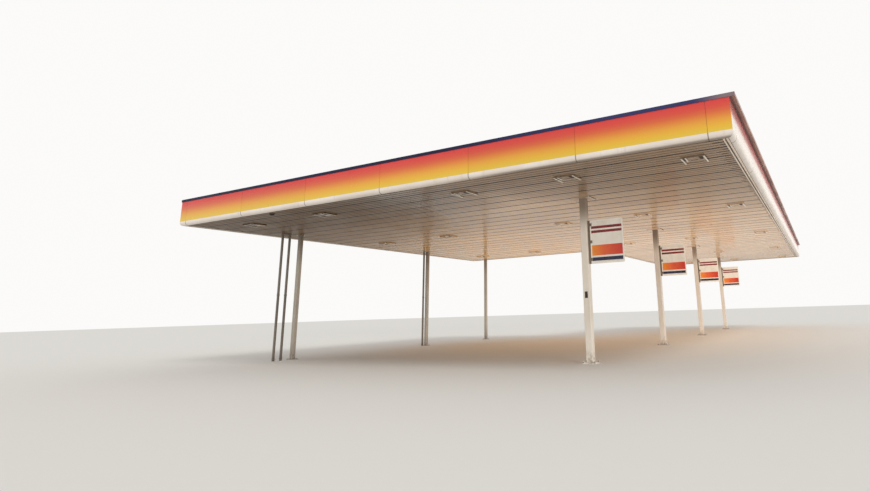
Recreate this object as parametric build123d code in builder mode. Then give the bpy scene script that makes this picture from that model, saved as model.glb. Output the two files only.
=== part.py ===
from build123d import *
import os

# Filling station canopy on an L-shaped plan, in millimetres.
# A long arm stands over one row of pump columns, and a shorter bay reaches from it to a row of posts
# on the shop side. X runs along the front fascia to the right, Y runs away from it, Z is up.
# The origin is on the ground, under the middle of the fascia's outer faces.

os.makedirs("parts", exist_ok=True)

# Roof plan, to the face of the fascia
roof_length = 18830.0
roof_depth = 32500.0
arm_width = 10100.0
shop_bay_depth = 18300.0

# Heights above the ground
soffit_height = 4880.0
nose_drop = 20.0

# Column grid
row_count = 4
row_spacing = 8100.0
front_overhang = 4100.0
shop_row_count = 2
shop_post_inset = 1200.0
shop_bay_beam_inset = 400.0

# Pump columns: square tube with welded base and head plates
column_size = 210.0
column_wall = 10.0
column_corner = 18.0
column_base = 450.0
column_base_thickness = 30.0
column_bolt_spacing = 340.0
column_bolt_radius = 13.0
column_head = 300.0
column_head_thickness = 20.0

# Shop-side posts, made the same way
post_size = 150.0
post_wall = 8.0
post_corner = 9.0
post_base = 300.0
post_base_thickness = 20.0
post_bolt_spacing = 220.0
post_bolt_radius = 11.0
post_head = 200.0
post_head_thickness = 16.0

# Soffit of ribbed sheet, seen from below as flat pans between narrow grooves
groove_pitch = 190.5
groove_mouth = 44.0
groove_depth = 26.0
soffit_thickness = 40.0
column_clearance = 20.0
edge_trim_width = 60.0
edge_slot_width = 17.0
edge_strip_width = 48.0
edge_trim_thickness = 14.0

# Light-gauge rails that the soffit hangs from, and the joists that carry the deck
rail_depth = 100.0
rail_width = 50.0
rail_wall = 4.0
joist_depth = 150.0
joist_width = 65.0
joist_wall = 5.0
arm_line_count = 8
shop_bay_line_count = 7
line_edge_distance = 400.0

# Hot-rolled beams
cross_depth = 360.0
cross_width = 170.0
cross_flange = 16.0
cross_web = 10.0
spine_depth = 300.0
spine_width = 150.0
spine_flange = 12.0
spine_web = 8.0
edge_beam_width = 80.0
edge_beam_flange = 12.0
edge_beam_web = 10.0
edge_beam_gap = 4.0

# Roof deck of flat trays with standing seams
deck_pan = 6.0
seam_pitch = 762.0
seam_height = 29.0
seam_foot = 44.0
seam_crown = 24.0
deck_edge_gap = 5.0

# Fascia: flat panels on posts, over a rounded nose trim and under a projecting coping
panel_height = 700.0
panel_thickness = 20.0
panel_pitch = 3000.0
corner_panel = 500.0
shortest_panel = 200.0
panel_gap = 6.0
fascia_post_width = 60.0
fascia_post_depth = 110.0
corner_post_distance = 230.0
nose_height = 150.0
nose_radius = 100.0
nose_depth = 110.0
nose_wall = 8.0
coping_height = 85.0
coping_lip = 15.0
right_coping_overhang = 115.0
coping_cover = 140.0
coping_gap = 5.0
panels_per_coping = 2

# Square collars that close the soffit round the pump columns
collar_size = 600.0
collar_thickness = 12.0
collar_clearance = 2.0

# Light fittings under the soffit
light_size = 550.0
light_depth = 30.0
light_frame = 30.0
light_recess = 10.0
arm_light_offsets = (3980.0, 700.0, -2550.0)
shop_bay_light_distances = (2100.0, 5620.0)
light_edge_distance = 1400.0

# Flag panels on the pump columns
flag_width = 1040.0
flag_height = 1310.0
flag_thickness = 12.0
flag_corner = 25.0
flag_bottom = 2860.0
flag_strip_width = 70.0
flag_strip_thickness = 30.0

# Downpipes in front of the first two shop-side posts: a loop at the first, a straight fall at the second
pipe_width = 75.0
pipe_depth = 60.0
pipe_offset = 300.0
loop_near = 520.0
loop_far = 840.0

# Worked-out places
half_length = roof_length / 2
half_depth = roof_depth / 2
inner_x = half_length - arm_width
shop_bay_back = shop_bay_depth - half_depth
column_x = half_length - arm_width / 2
post_x = shop_post_inset - half_length
row_y = [front_overhang - half_depth + row * row_spacing for row in range(row_count)]
shop_bay_beam_y = shop_bay_back - shop_bay_beam_inset
post_y = row_y[:shop_row_count] + [shop_bay_beam_y]

rail_bottom = soffit_height + soffit_thickness
beam_bottom = rail_bottom + rail_depth
beam_top = beam_bottom + cross_depth
deck_bottom = beam_top + joist_depth
nose_bottom = soffit_height - nose_drop
nose_top = nose_bottom + nose_height
panel_top = nose_top + panel_height
frame_face = panel_thickness + fascia_post_depth
deck_face = frame_face + deck_edge_gap


# The six sides, walked with the roof on the left
corners = [
    (-half_length, -half_depth),
    (half_length, -half_depth),
    (half_length, half_depth),
    (inner_x, half_depth),
    (inner_x, shop_bay_back),
    (-half_length, shop_bay_back),
]
side_names = ["front", "right", "back_right", "inner", "back_left", "left"]
concave_corner = 4


class Side:
    """One straight side of the roof edge. Along it is measured from its start, and depth from the
    fascia's face towards the roof."""

    def __init__(self, index):
        self.name = side_names[index]
        self.start = Vector(*corners[index], 0)
        finish = Vector(*corners[(index + 1) % len(corners)], 0)
        self.length = (finish - self.start).length
        self.along = (finish - self.start).normalized()
        self.inward = Vector(-self.along.Y, self.along.X, 0)
        self.start_turn = -1 if index == concave_corner else 1
        self.end_turn = -1 if index + 1 == concave_corner else 1
        self.coping_overhang = right_coping_overhang if self.name == "right" else coping_lip

    def plan(self, height):
        """Level plane with X along the side and Y into the roof."""
        return Plane(origin=self.start + Vector(0, 0, height), x_dir=self.along, z_dir=(0, 0, 1))

    def section(self, distance):
        """Upright plane across the side, with X into the roof and Y up."""
        return Plane(origin=self.start + self.along * distance, x_dir=self.inward, z_dir=self.along)

    def joints(self):
        """Where the fascia panels meet. Both sides count from the corner at the right of the front."""
        found = []
        distance = corner_panel
        while distance < self.length - shortest_panel:
            found.append(self.length - distance if self.name == "front" else distance)
            distance += panel_pitch
        return sorted(found)

    def lengths(self, joints, gap):
        """Low and high end of each length between the joints, with None at a mitred corner."""
        lows = [None] + [joint + gap / 2 for joint in joints]
        highs = [joint - gap / 2 for joint in joints] + [None]
        return zip(lows, highs)

    def band(self, near, far, bottom, low=None, high=None, gap=0.0, corner_nears=None):
        """Plan outline of a strip between two depths, mitred at each end that has no given limit.
        Corner nears are the near depths of the sides before and after, where they differ from this one's."""
        start_near, end_near = corner_nears or (near, near)
        low_ends = [depth * self.start_turn + gap if low is None else low for depth in (start_near, far)]
        high_ends = [self.length - depth * self.end_turn - gap if high is None else high for depth in (end_near, far)]
        with BuildSketch(self.plan(bottom)) as outline:
            with BuildLine():
                Polyline(
                    (low_ends[0], near),
                    (high_ends[0], near),
                    (high_ends[1], far),
                    (low_ends[1], far),
                    close=True,
                )
            make_face()
        return outline.sketch


sides = [Side(index) for index in range(len(corners))]


def run_plane(x, y, z, direction):
    """Plane across a member that runs along the direction, with its own Y up."""
    heading = Vector(*direction)
    return Plane(origin=(x, y, z), x_dir=Vector(0, 0, 1).cross(heading), z_dir=heading)


def i_section(plane, depth, width, flange, web):
    """Beam section, centred sideways, standing on the plane's origin."""
    with BuildSketch(plane) as section:
        with Locations((0, depth / 2)):
            Rectangle(width, depth)
        with Locations((-(width + web) / 4, depth / 2), ((width + web) / 4, depth / 2)):
            Rectangle((width - web) / 2, depth - 2 * flange, mode=Mode.SUBTRACT)
    return section.sketch


def c_section(plane, depth, width, flange, web):
    """Channel section, centred sideways and open to the plane's +X, standing on its origin."""
    with BuildSketch(plane) as section:
        with Locations((0, depth / 2)):
            Rectangle(width, depth)
        with Locations((web / 2, depth / 2)):
            Rectangle(width - web, depth - 2 * flange, mode=Mode.SUBTRACT)
    return section.sketch


def grooved_section(x, front, back):
    """Section of the soffit across its grooves, each a V cut up into the underside."""
    span = back - front
    underside = []
    for groove in range(int(span // groove_pitch)):
        centre = groove_pitch * (groove + 0.5)
        underside += [(centre - groove_mouth / 2, 0), (centre, groove_depth), (centre + groove_mouth / 2, 0)]
    with BuildSketch(run_plane(x, front, soffit_height, (1, 0, 0))) as section:
        with BuildLine():
            Polyline(
                (0, 0), *underside, (span, 0), (span, soffit_thickness), (0, soffit_thickness), close=True
            )
        make_face()
    return section.sketch


def seamed_section(x, front, back):
    """Section of the roof deck across its seams, each standing up from the flat trays."""
    span = back - front
    top_side = []
    for seam in range(int(span // seam_pitch)):
        centre = seam_pitch * (seam + 0.5)
        top_side += [
            (centre - seam_foot / 2, deck_pan),
            (centre - seam_crown / 2, deck_pan + seam_height),
            (centre + seam_crown / 2, deck_pan + seam_height),
            (centre + seam_foot / 2, deck_pan),
        ]
    with BuildSketch(run_plane(x, front, deck_bottom, (1, 0, 0))) as section:
        with BuildLine():
            Polyline((0, deck_pan), *top_side, (span, deck_pan), (span, 0), (0, 0), close=True)
        make_face()
    return section.sketch


def nose_section(side, distance):
    """Hollow nose trim: upright face, rounded lower corner and a flat underside."""
    with BuildSketch(side.section(distance)) as section:
        with BuildLine():
            Line((0, nose_top), (0, nose_bottom + nose_radius))
            RadiusArc((0, nose_bottom + nose_radius), (nose_radius, nose_bottom), -nose_radius)
            Polyline(
                (nose_radius, nose_bottom),
                (nose_depth, nose_bottom),
                (nose_depth, nose_top),
                (0, nose_top),
            )
        make_face()
        offset(amount=-nose_wall, mode=Mode.SUBTRACT)
    return section.sketch


def line_places(low, high, count):
    """Evenly spaced member lines between two edges."""
    first = low + line_edge_distance
    step = (high - low - 2 * line_edge_distance) / (count - 1)
    return [first + step * line for line in range(count)]


def write(node, label):
    """Label a finished node and write its file."""
    node.part.label = label
    export_step(node.part, f"parts/{label}.step")


# Pump columns
for number, y in enumerate(row_y, start=1):
    with BuildPart() as pump_column:
        with BuildSketch(Plane.XY):
            with Locations((column_x, y)):
                Rectangle(column_base, column_base)
                with GridLocations(column_bolt_spacing, column_bolt_spacing, 2, 2):
                    Circle(column_bolt_radius, mode=Mode.SUBTRACT)
        extrude(amount=column_base_thickness)
        with BuildSketch(Plane.XY.offset(column_base_thickness)):
            with Locations((column_x, y)):
                RectangleRounded(column_size, column_size, column_corner)
                Rectangle(column_size - 2 * column_wall, column_size - 2 * column_wall, mode=Mode.SUBTRACT)
        extrude(amount=beam_bottom - column_head_thickness - column_base_thickness)
        with BuildSketch(Plane.XY.offset(beam_bottom - column_head_thickness)):
            with Locations((column_x, y)):
                Rectangle(column_head, column_head)
        extrude(amount=column_head_thickness)
    write(pump_column, f"pump_column_{number}")

# Shop-side posts
for number, y in enumerate(post_y, start=1):
    with BuildPart() as shop_post:
        with BuildSketch(Plane.XY):
            with Locations((post_x, y)):
                Rectangle(post_base, post_base)
                with GridLocations(post_bolt_spacing, post_bolt_spacing, 2, 2):
                    Circle(post_bolt_radius, mode=Mode.SUBTRACT)
        extrude(amount=post_base_thickness)
        with BuildSketch(Plane.XY.offset(post_base_thickness)):
            with Locations((post_x, y)):
                post_outline = Rectangle(post_size, post_size)
            chamfer(post_outline.vertices(), length=post_corner)
            with Locations((post_x, y)):
                Rectangle(post_size - 2 * post_wall, post_size - 2 * post_wall, mode=Mode.SUBTRACT)
        extrude(amount=beam_bottom - post_head_thickness - post_base_thickness)
        with BuildSketch(Plane.XY.offset(beam_bottom - post_head_thickness)):
            with Locations((post_x, y)):
                Rectangle(post_head, post_head)
        extrude(amount=post_head_thickness)
    write(shop_post, f"shop_post_{number}")

# Cross beams over the column rows: the first rows run on to the shop-side posts
edge_beam_back = frame_face + edge_beam_width
with BuildPart() as cross_beams:
    for row, y in enumerate(row_y):
        left_end = (-half_length if row < shop_row_count else inner_x) + edge_beam_back
        right_end = half_length - edge_beam_back
        section = i_section(
            run_plane(left_end, y, beam_bottom, (1, 0, 0)), cross_depth, cross_width, cross_flange, cross_web
        )
        extrude(section, amount=right_end - left_end)
write(cross_beams, "cross_beams")

# Spine beams along the column line, framed between the flanges of the cross beams
spine_bottom = beam_bottom + (cross_depth - spine_depth) / 2
edge_web_back = frame_face + edge_beam_web
spine_stops = [-half_depth + edge_web_back] + row_y + [half_depth - edge_web_back]
with BuildPart() as spine_beams:
    for place in range(len(spine_stops) - 1):
        low = spine_stops[place] + (cross_web / 2 if place > 0 else 0.0)
        high = spine_stops[place + 1] - (cross_web / 2 if place < row_count else 0.0)
        section = i_section(
            run_plane(column_x, low, spine_bottom, (0, 1, 0)), spine_depth, spine_width, spine_flange, spine_web
        )
        extrude(section, amount=high - low)
write(spine_beams, "spine_beams")

# Beam at the back of the shop bay, from the third post to the spine
with BuildPart() as shop_bay_beam:
    left_end = edge_beam_back - half_length
    right_end = column_x - spine_width / 2
    section = i_section(
        run_plane(left_end, shop_bay_beam_y, beam_bottom, (1, 0, 0)),
        cross_depth, cross_width, cross_flange, cross_web,
    )
    extrude(section, amount=right_end - left_end)
write(shop_bay_beam, "shop_bay_beam")

# Edge beams: channels round the roof behind the fascia posts, web outwards
with BuildPart() as edge_beams:
    for side in sides:
        extrude(side.band(frame_face, edge_beam_back, beam_bottom, gap=edge_beam_gap), amount=cross_depth)
    for side in sides:
        hollow_bottom = beam_bottom + edge_beam_flange
        hollow = side.band(edge_web_back, edge_beam_back, hollow_bottom, gap=edge_beam_gap)
        extrude(hollow, amount=cross_depth - 2 * edge_beam_flange, mode=Mode.SUBTRACT)
write(edge_beams, "edge_beams")

# Soffit rails and roof joists share the same lines across the roof
arm_lines = [(x, half_depth) for x in line_places(inner_x, half_length, arm_line_count)]
shop_bay_lines = [(x, shop_bay_back) for x in line_places(-half_length, inner_x, shop_bay_line_count)]
member_front = -half_depth + deck_face
with BuildPart() as soffit_rails:
    for x, back in arm_lines + shop_bay_lines:
        section = c_section(
            run_plane(x, member_front, rail_bottom, (0, 1, 0)), rail_depth, rail_width, rail_wall, rail_wall
        )
        extrude(section, amount=back - deck_face - member_front)
write(soffit_rails, "soffit_rails")

with BuildPart() as roof_joists:
    for x, back in arm_lines + shop_bay_lines:
        section = c_section(
            run_plane(x, member_front, beam_top, (0, 1, 0)), joist_depth, joist_width, joist_wall, joist_wall
        )
        extrude(section, amount=back - deck_face - member_front)
write(roof_joists, "roof_joists")

# Soffit sheets, with a square opening for each column or post
split_x = inner_x + nose_depth
soffit_front = -half_depth + nose_depth
column_opening = column_size + 2 * column_clearance
post_opening = post_size + 2 * column_clearance
with BuildPart() as soffit_arm:
    section = grooved_section(split_x, soffit_front, half_depth - nose_depth)
    extrude(section, amount=half_length - nose_depth - split_x)
    with BuildSketch(Plane.XY.offset(soffit_height)):
        with Locations(*[(column_x, y) for y in row_y]):
            Rectangle(column_opening, column_opening)
    extrude(amount=soffit_thickness, mode=Mode.SUBTRACT)
write(soffit_arm, "soffit_arm")

with BuildPart() as soffit_shop_bay:
    left_end = nose_depth - half_length
    section = grooved_section(left_end, soffit_front, shop_bay_back - nose_depth)
    extrude(section, amount=split_x - left_end)
    with BuildSketch(Plane.XY.offset(soffit_height)):
        with Locations(*[(post_x, y) for y in post_y]):
            Rectangle(post_opening, post_opening)
    extrude(amount=soffit_thickness, mode=Mode.SUBTRACT)
write(soffit_shop_bay, "soffit_shop_bay")

# Flat trim and closing strip under the ends of the soffit sheets, with an open slot between them
strip_front = nose_depth + edge_trim_width + edge_slot_width
trim_depths = [(nose_depth, nose_depth + edge_trim_width), (strip_front, strip_front + edge_strip_width)]
with BuildPart() as soffit_trim:
    for side in sides:
        if side.name in ("right", "inner", "left"):
            low = nose_depth if side.start_turn > 0 else 0.0
            high = side.length - (nose_depth if side.end_turn > 0 else 0.0)
            for near, far in trim_depths:
                outline = side.band(near, far, soffit_height - edge_trim_thickness, low, high)
                extrude(outline, amount=edge_trim_thickness)
write(soffit_trim, "soffit_trim")

# Roof deck
with BuildPart() as roof_deck_arm:
    left_end = inner_x + deck_face
    section = seamed_section(left_end, member_front, half_depth - deck_face)
    extrude(section, amount=half_length - deck_face - left_end)
write(roof_deck_arm, "roof_deck_arm")

with BuildPart() as roof_deck_shop_bay:
    left_end = deck_face - half_length
    section = seamed_section(left_end, member_front, shop_bay_back - deck_face)
    extrude(section, amount=inner_x + deck_face - left_end)
write(roof_deck_shop_bay, "roof_deck_shop_bay")

# Fascia posts at every panel joint and beside the corners
with BuildPart() as fascia_posts:
    for side in sides:
        ends = [corner_post_distance, side.length - corner_post_distance]
        spare = fascia_post_width * 2
        joints = side.joints()
        places = joints + [end for end in ends if all(abs(end - joint) > spare for joint in joints)]
        for place in places:
            low = place - fascia_post_width / 2
            high = place + fascia_post_width / 2
            outline = side.band(panel_thickness, frame_face, nose_top, low, high)
            extrude(outline, amount=panel_height)
write(fascia_posts, "fascia_posts")

# Fascia panels, nose trim and coping, one node of each for every side
for index, side in enumerate(sides):
    joints = side.joints()
    with BuildPart() as fascia:
        for low, high in side.lengths(joints, panel_gap):
            extrude(side.band(0.0, panel_thickness, nose_top, low, high), amount=panel_height)
    write(fascia, f"fascia_{side.name}")

    with BuildPart() as nose_trim:
        low = 0.0 if side.start_turn > 0 else -nose_depth
        high = side.length if side.end_turn > 0 else side.length + nose_depth
        extrude(nose_section(side, low), amount=high - low)
        extrude(side.band(0.0, nose_depth, nose_bottom), amount=nose_height, mode=Mode.INTERSECT)
    write(nose_trim, f"nose_trim_{side.name}")

    neighbours = (sides[index - 1], sides[(index + 1) % len(sides)])
    corner_nears = [-neighbour.coping_overhang for neighbour in neighbours]
    with BuildPart() as coping:
        for low, high in side.lengths(joints[1::panels_per_coping], coping_gap):
            outline = side.band(
                -side.coping_overhang, coping_cover, panel_top, low, high, corner_nears=corner_nears
            )
            extrude(outline, amount=coping_height)
    write(coping, f"coping_{side.name}")

# Column collars
with BuildPart() as column_collars:
    with BuildSketch(Plane.XY.offset(soffit_height - collar_thickness)):
        collar_opening = column_size + 2 * collar_clearance
        with Locations(*[(column_x, y) for y in row_y]):
            Rectangle(collar_size, collar_size)
            Rectangle(collar_opening, collar_opening, mode=Mode.SUBTRACT)
    extrude(amount=collar_thickness)
write(column_collars, "column_collars")

# Light fittings: shallow square boxes with the lens set up inside the frame
bay_middles = [(low + high) / 2 for low, high in zip(row_y[:-1], row_y[1:])]
arm_light_y = [light_edge_distance - half_depth] + bay_middles + [half_depth - light_edge_distance]
shop_bay_light_y = [y for y in arm_light_y if y < shop_bay_back - light_edge_distance]
light_places = [(column_x + x, y) for x in arm_light_offsets for y in arm_light_y]
light_places += [(x - half_length, y) for x in shop_bay_light_distances for y in shop_bay_light_y]
with BuildPart() as soffit_lights:
    with BuildSketch(Plane.XY.offset(soffit_height - light_depth)):
        with Locations(*light_places):
            Rectangle(light_size, light_size)
    extrude(amount=light_depth)
    with BuildSketch(Plane.XY.offset(soffit_height - light_depth)):
        with Locations(*light_places):
            Rectangle(light_size - 2 * light_frame, light_size - 2 * light_frame)
    extrude(amount=light_recess, mode=Mode.SUBTRACT)
write(soffit_lights, "soffit_lights")

# Flag panels, each held by its strip on the right-hand face of a pump column
strip_x = column_x + column_size / 2
flag_x = strip_x + flag_strip_width
for number, y in enumerate(row_y, start=1):
    flag_plane = Plane(origin=(0, y + flag_thickness / 2, 0), x_dir=(1, 0, 0), z_dir=(0, -1, 0))
    with BuildPart() as flag_panel:
        with BuildSketch(flag_plane):
            with Locations((flag_x + flag_width / 2, flag_bottom + flag_height / 2)):
                RectangleRounded(flag_width, flag_height, flag_corner)
        extrude(amount=flag_thickness)
    write(flag_panel, f"flag_panel_{number}")

with BuildPart() as flag_strips:
    with BuildSketch(Plane.XY.offset(flag_bottom)):
        with Locations(*[(strip_x + flag_strip_width / 2, y) for y in row_y]):
            Rectangle(flag_strip_width, flag_strip_thickness)
    extrude(amount=flag_height)
write(flag_strips, "flag_strips")

# Downpipes: the loop's upper run lies against the soffit, and the straight fall ends there
loop_top = soffit_height - pipe_depth / 2
with BuildPart() as downpipes:
    with BuildLine() as loop_route:
        Polyline(
            (post_x, post_y[0] - loop_far, 0),
            (post_x, post_y[0] - loop_far, loop_top),
            (post_x, post_y[0] - loop_near, loop_top),
            (post_x, post_y[0] - loop_near, 0),
        )
    with BuildSketch(Plane(origin=loop_route.line @ 0, x_dir=(1, 0, 0), z_dir=(0, 0, 1))) as loop_outline:
        Rectangle(pipe_width, pipe_depth)
    sweep(sections=loop_outline.sketch, path=loop_route.line, transition=Transition.RIGHT)
    with BuildSketch(Plane.XY):
        with Locations((post_x, post_y[1] - pipe_offset)):
            Rectangle(pipe_width, pipe_depth)
    extrude(amount=soffit_height)
write(downpipes, "downpipes")
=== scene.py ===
import math
import bmesh
import bpy
import numpy as np
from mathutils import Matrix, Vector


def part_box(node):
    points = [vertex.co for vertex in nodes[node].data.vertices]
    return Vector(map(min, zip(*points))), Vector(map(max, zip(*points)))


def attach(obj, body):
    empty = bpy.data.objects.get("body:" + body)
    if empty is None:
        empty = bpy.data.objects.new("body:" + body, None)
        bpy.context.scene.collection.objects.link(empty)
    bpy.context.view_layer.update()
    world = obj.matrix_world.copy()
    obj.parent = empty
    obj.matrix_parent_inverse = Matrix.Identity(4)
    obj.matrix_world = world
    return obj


# Filling station canopy: finishes, small fittings, floor, lights and camera, in metres

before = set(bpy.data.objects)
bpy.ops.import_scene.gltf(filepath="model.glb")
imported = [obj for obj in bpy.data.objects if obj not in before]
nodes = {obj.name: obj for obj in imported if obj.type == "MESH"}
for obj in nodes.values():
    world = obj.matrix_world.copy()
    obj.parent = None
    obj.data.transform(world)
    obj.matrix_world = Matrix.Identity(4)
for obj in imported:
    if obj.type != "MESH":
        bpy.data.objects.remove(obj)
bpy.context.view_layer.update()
print("frame loaded,", len(nodes), "nodes")


# Sizes read from the frame

def lowOf(node):
    return np.array(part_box(node)[0])


def highOf(node):
    return np.array(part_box(node)[1])


def middleOf(node):
    return (lowOf(node) + highOf(node)) / 2


def namedLike(start):
    return [name for name in sorted(nodes) if name.startswith(start)]


def nodePoints(node):
    # every corner of a node's mesh, one row for each
    mesh = nodes[node].data
    points = np.empty(len(mesh.vertices) * 3, np.float32)
    mesh.vertices.foreach_get("co", points)
    return points.reshape(-1, 3).astype(float)


def bunchMiddles(values, gap):
    # middles of the bunches of sorted values that lie closer together than the gap
    ordered = np.unique(values.round(4))
    bunches = np.split(ordered, np.where(np.diff(ordered) > gap)[0] + 1)
    return np.array([(bunch[0] + bunch[-1]) / 2 for bunch in bunches])


reading = {
    "panRise": 0.006,  # from the roof trays' lowest point to the top of their pans
    "widestJoint": 0.012,  # a wider step is a length of panel or coping
    "lightGap": 1.0,  # corners closer together belong to one row of fittings
    "lightSlack": 0.01,  # round a fitting's own outline, when it is looked for
}
level = {
    "soffit": lowOf("soffit_arm")[2],
    "trimBottom": lowOf("soffit_trim")[2],
    "noseBottom": lowOf("nose_trim_front")[2],
    "panelBottom": lowOf("fascia_front")[2],
    "panelTop": highOf("fascia_front")[2],
    "copingTop": highOf("coping_front")[2],
    "deckTop": highOf("roof_deck_arm")[2],
    "deckPan": lowOf("roof_deck_arm")[2] + reading["panRise"],
}
left, right = lowOf("fascia_left")[0], highOf("fascia_right")[0]
front, back = lowOf("fascia_front")[1], highOf("fascia_back_right")[1]
innerX, bayBack = lowOf("fascia_inner")[0], highOf("fascia_back_left")[1]
roofCorners = np.array([
    (left, front, 0), (right, front, 0), (right, back, 0),
    (innerX, back, 0), (innerX, bayBack, 0), (left, bayBack, 0),
])
sideNames = ["front", "right", "back_right", "inner", "back_left", "left"]
pumpColumns, shopPosts, flagPanels = namedLike("pump_column"), namedLike("shop_post"), namedLike("flag_panel")
upZ = np.array([0.0, 0.0, 1.0])
squareCorners = np.array([(1, 1, 0), (-1, 1, 0), (-1, -1, 0), (1, -1, 0)], float)


def jointsOf(node, start, along):
    # distances of the open joints in a row of panels or copings, which are the narrow steps between its ends
    ends = np.unique(((nodePoints(node) - start) @ along).round(4))
    steps = np.diff(ends)
    narrow = steps < reading["widestJoint"]
    return ends[:-1][narrow] + steps[narrow] / 2


def makeSide(index):
    # one side of the roof edge: distance runs along it, depth runs from the fascia's face into the roof
    name, start, finish = sideNames[index], roofCorners[index], roofCorners[(index + 1) % len(roofCorners)]
    length = np.linalg.norm(finish - start)
    along = (finish - start) / length
    return {
        "name": name, "start": start, "along": along, "inward": np.cross(upZ, along), "length": length,
        "joints": jointsOf("fascia_" + name, start, along),
        "copingJoints": jointsOf("coping_" + name, start, along),
    }


sides = [makeSide(index) for index in range(len(sideNames))]
cornerInward = np.array([sides[index - 1]["inward"] + sides[index]["inward"] for index in range(len(sides))])


def sidePoint(side, distance, depth, height):
    # start + distance * along + depth * inward + height, for single numbers or whole arrays
    distance, depth, height = np.broadcast_arrays(distance, depth, height)
    spread = [part[..., None] * axis for part, axis in
              ((distance, side["along"]), (depth, side["inward"]), (height, upZ))]
    return side["start"] + sum(spread)


# Mesh tools

sidesRound = {"nut": 6, "dome": 8, "stud": 10, "cap": 14, "washer": 16, "flange": 24, "shell": 28}


def gridFaces(rows, columns, wrapRows=False, wrapColumns=False):
    # four-cornered faces between the points of a grid, joined round where it wraps
    row = np.arange(rows if wrapRows else rows - 1)[:, None]
    column = np.arange(columns if wrapColumns else columns - 1)[None]
    nextRow, nextColumn = (row + 1) % rows, (column + 1) % columns
    corners = [
        row * columns + column, row * columns + nextColumn,
        nextRow * columns + nextColumn, nextRow * columns + column,
    ]
    return np.stack(np.broadcast_arrays(*corners), -1).reshape(-1, 4)


def endFaces(count, size):
    # one face over the first ring and one over the last
    ring = np.arange(size)[None]
    return [ring[:, ::-1], ring + (count - 1) * size]


def carryProfile(profile, path, across, upward, closed=False):
    # closed profile carried along a path: point = path + across * profile x + upward * profile y
    profile, path = np.asarray(profile, float), np.asarray(path, float)
    across, upward = np.broadcast_to(across, path.shape), np.broadcast_to(upward, path.shape)
    rings = path[:, None] + across[:, None] * profile[None, :, :1] + upward[:, None] * profile[None, :, 1:]
    count, size = rings.shape[:2]
    faces = [gridFaces(count, size, wrapRows=closed, wrapColumns=True)]
    return rings.reshape(-1, 3), faces if closed else faces + endFaces(count, size)


def turnPart(rings, sideCount, axis=2):
    # turned part: each ring is (radius, height), and a point lies at radius * (cos, sin) and height
    rings = np.asarray(rings, float)
    angle = np.linspace(0, 2 * np.pi, sideCount, endpoint=False)
    flat = rings[:, :1] * np.cos(angle), rings[:, :1] * np.sin(angle)
    points = np.stack([flat[0], flat[1], np.broadcast_to(rings[:, 1:], flat[0].shape)], -1)
    points = np.roll(points, axis - 2, axis=-1)
    faces = [gridFaces(len(rings), sideCount, wrapColumns=True)] + endFaces(len(rings), sideCount)
    return points.reshape(-1, 3), faces


def roundedOutline(middle, halves, corner, steps, axes):
    # closed rectangle with quarter-circle corners in the plane of two axes, and its outward directions:
    # point = middle + corner's own centre + corner * (cos, sin)
    turn = np.linspace(0, np.pi / 2, steps) + np.arange(4)[:, None] * np.pi / 2
    outward, centres = np.zeros((4, steps, 3)), np.zeros((4, 1, 3))
    outward[..., axes[0]], outward[..., axes[1]] = np.cos(turn), np.sin(turn)
    centres[..., axes] = squareCorners[:, None, :2] * (np.asarray(halves) - corner)
    path = np.asarray(middle) + centres + corner * outward
    return path.reshape(-1, 3), outward.reshape(-1, 3)


def stampPart(part, places):
    # one copy of a part at each place
    points, faceSets = part
    places = np.asarray(places, float).reshape(-1, 3)
    shift = (np.arange(len(places)) * len(points))[:, None, None]
    copies = (places[:, None] + points[None]).reshape(-1, 3)
    return copies, [(faces[None] + shift).reshape(-1, faces.shape[1]) for faces in faceSets]


def rectangle(width, height, bevel=0.0):
    # closed outline round its own middle, with its corners cut off by the bevel
    x, y = width / 2, height / 2
    if bevel == 0.0:
        return np.array([(-x, -y), (x, -y), (x, y), (-x, y)])
    return np.array([
        (bevel - x, -y), (x - bevel, -y), (x, bevel - y), (x, y - bevel),
        (x - bevel, y), (bevel - x, y), (-x, y - bevel), (-x, bevel - y),
    ])


def bar(start, finish, width, height, upward=(0, 0, 1), bevel=0.001):
    # straight bar: a bevelled rectangle carried from one point to the other
    path = np.array([start, finish], float)
    heading = (path[1] - path[0]) / np.linalg.norm(path[1] - path[0])
    return carryProfile(rectangle(width, height, bevel), path, np.cross(upward, heading), upward)


def hungBar(x, low, high, top, width, drop, bevel=0.002):
    # bar that runs away from the front, hung from a height
    return bar((x, low, top - drop / 2), (x, high, top - drop / 2), width, drop, bevel=bevel)


def addObject(name, data):
    thing = bpy.data.objects.new(name, data)
    bpy.context.scene.collection.objects.link(thing)
    return thing


def makePiece(name, parts, finish, smooth=False):
    # joins the parts into one mesh, turns its faces outwards and lets it ride on the roof
    points, faces, base = [], [], 0
    for partPoints, faceSets in parts:
        points.append(partPoints)
        for faceSet in faceSets:
            faces += (faceSet + base).tolist()
        base += len(partPoints)
    mesh = bpy.data.meshes.new(name)
    mesh.from_pydata(np.concatenate(points).tolist(), [], faces)
    work = bmesh.new()
    work.from_mesh(mesh)
    bmesh.ops.recalc_face_normals(work, faces=work.faces)
    work.to_mesh(mesh)
    work.free()
    mesh.polygons.foreach_set("use_smooth", np.full(len(mesh.polygons), smooth))
    mesh.materials.append(finish)
    piece = addObject(name, mesh)
    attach(piece, "root")


# Material tools

def colour(red, green, blue):
    # screen colour from 0 to 255 to the linear colour that the shader takes
    return tuple(((part / 255 + 0.055) / 1.055) ** 2.4 for part in (red, green, blue)) + (1.0,)


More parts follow.
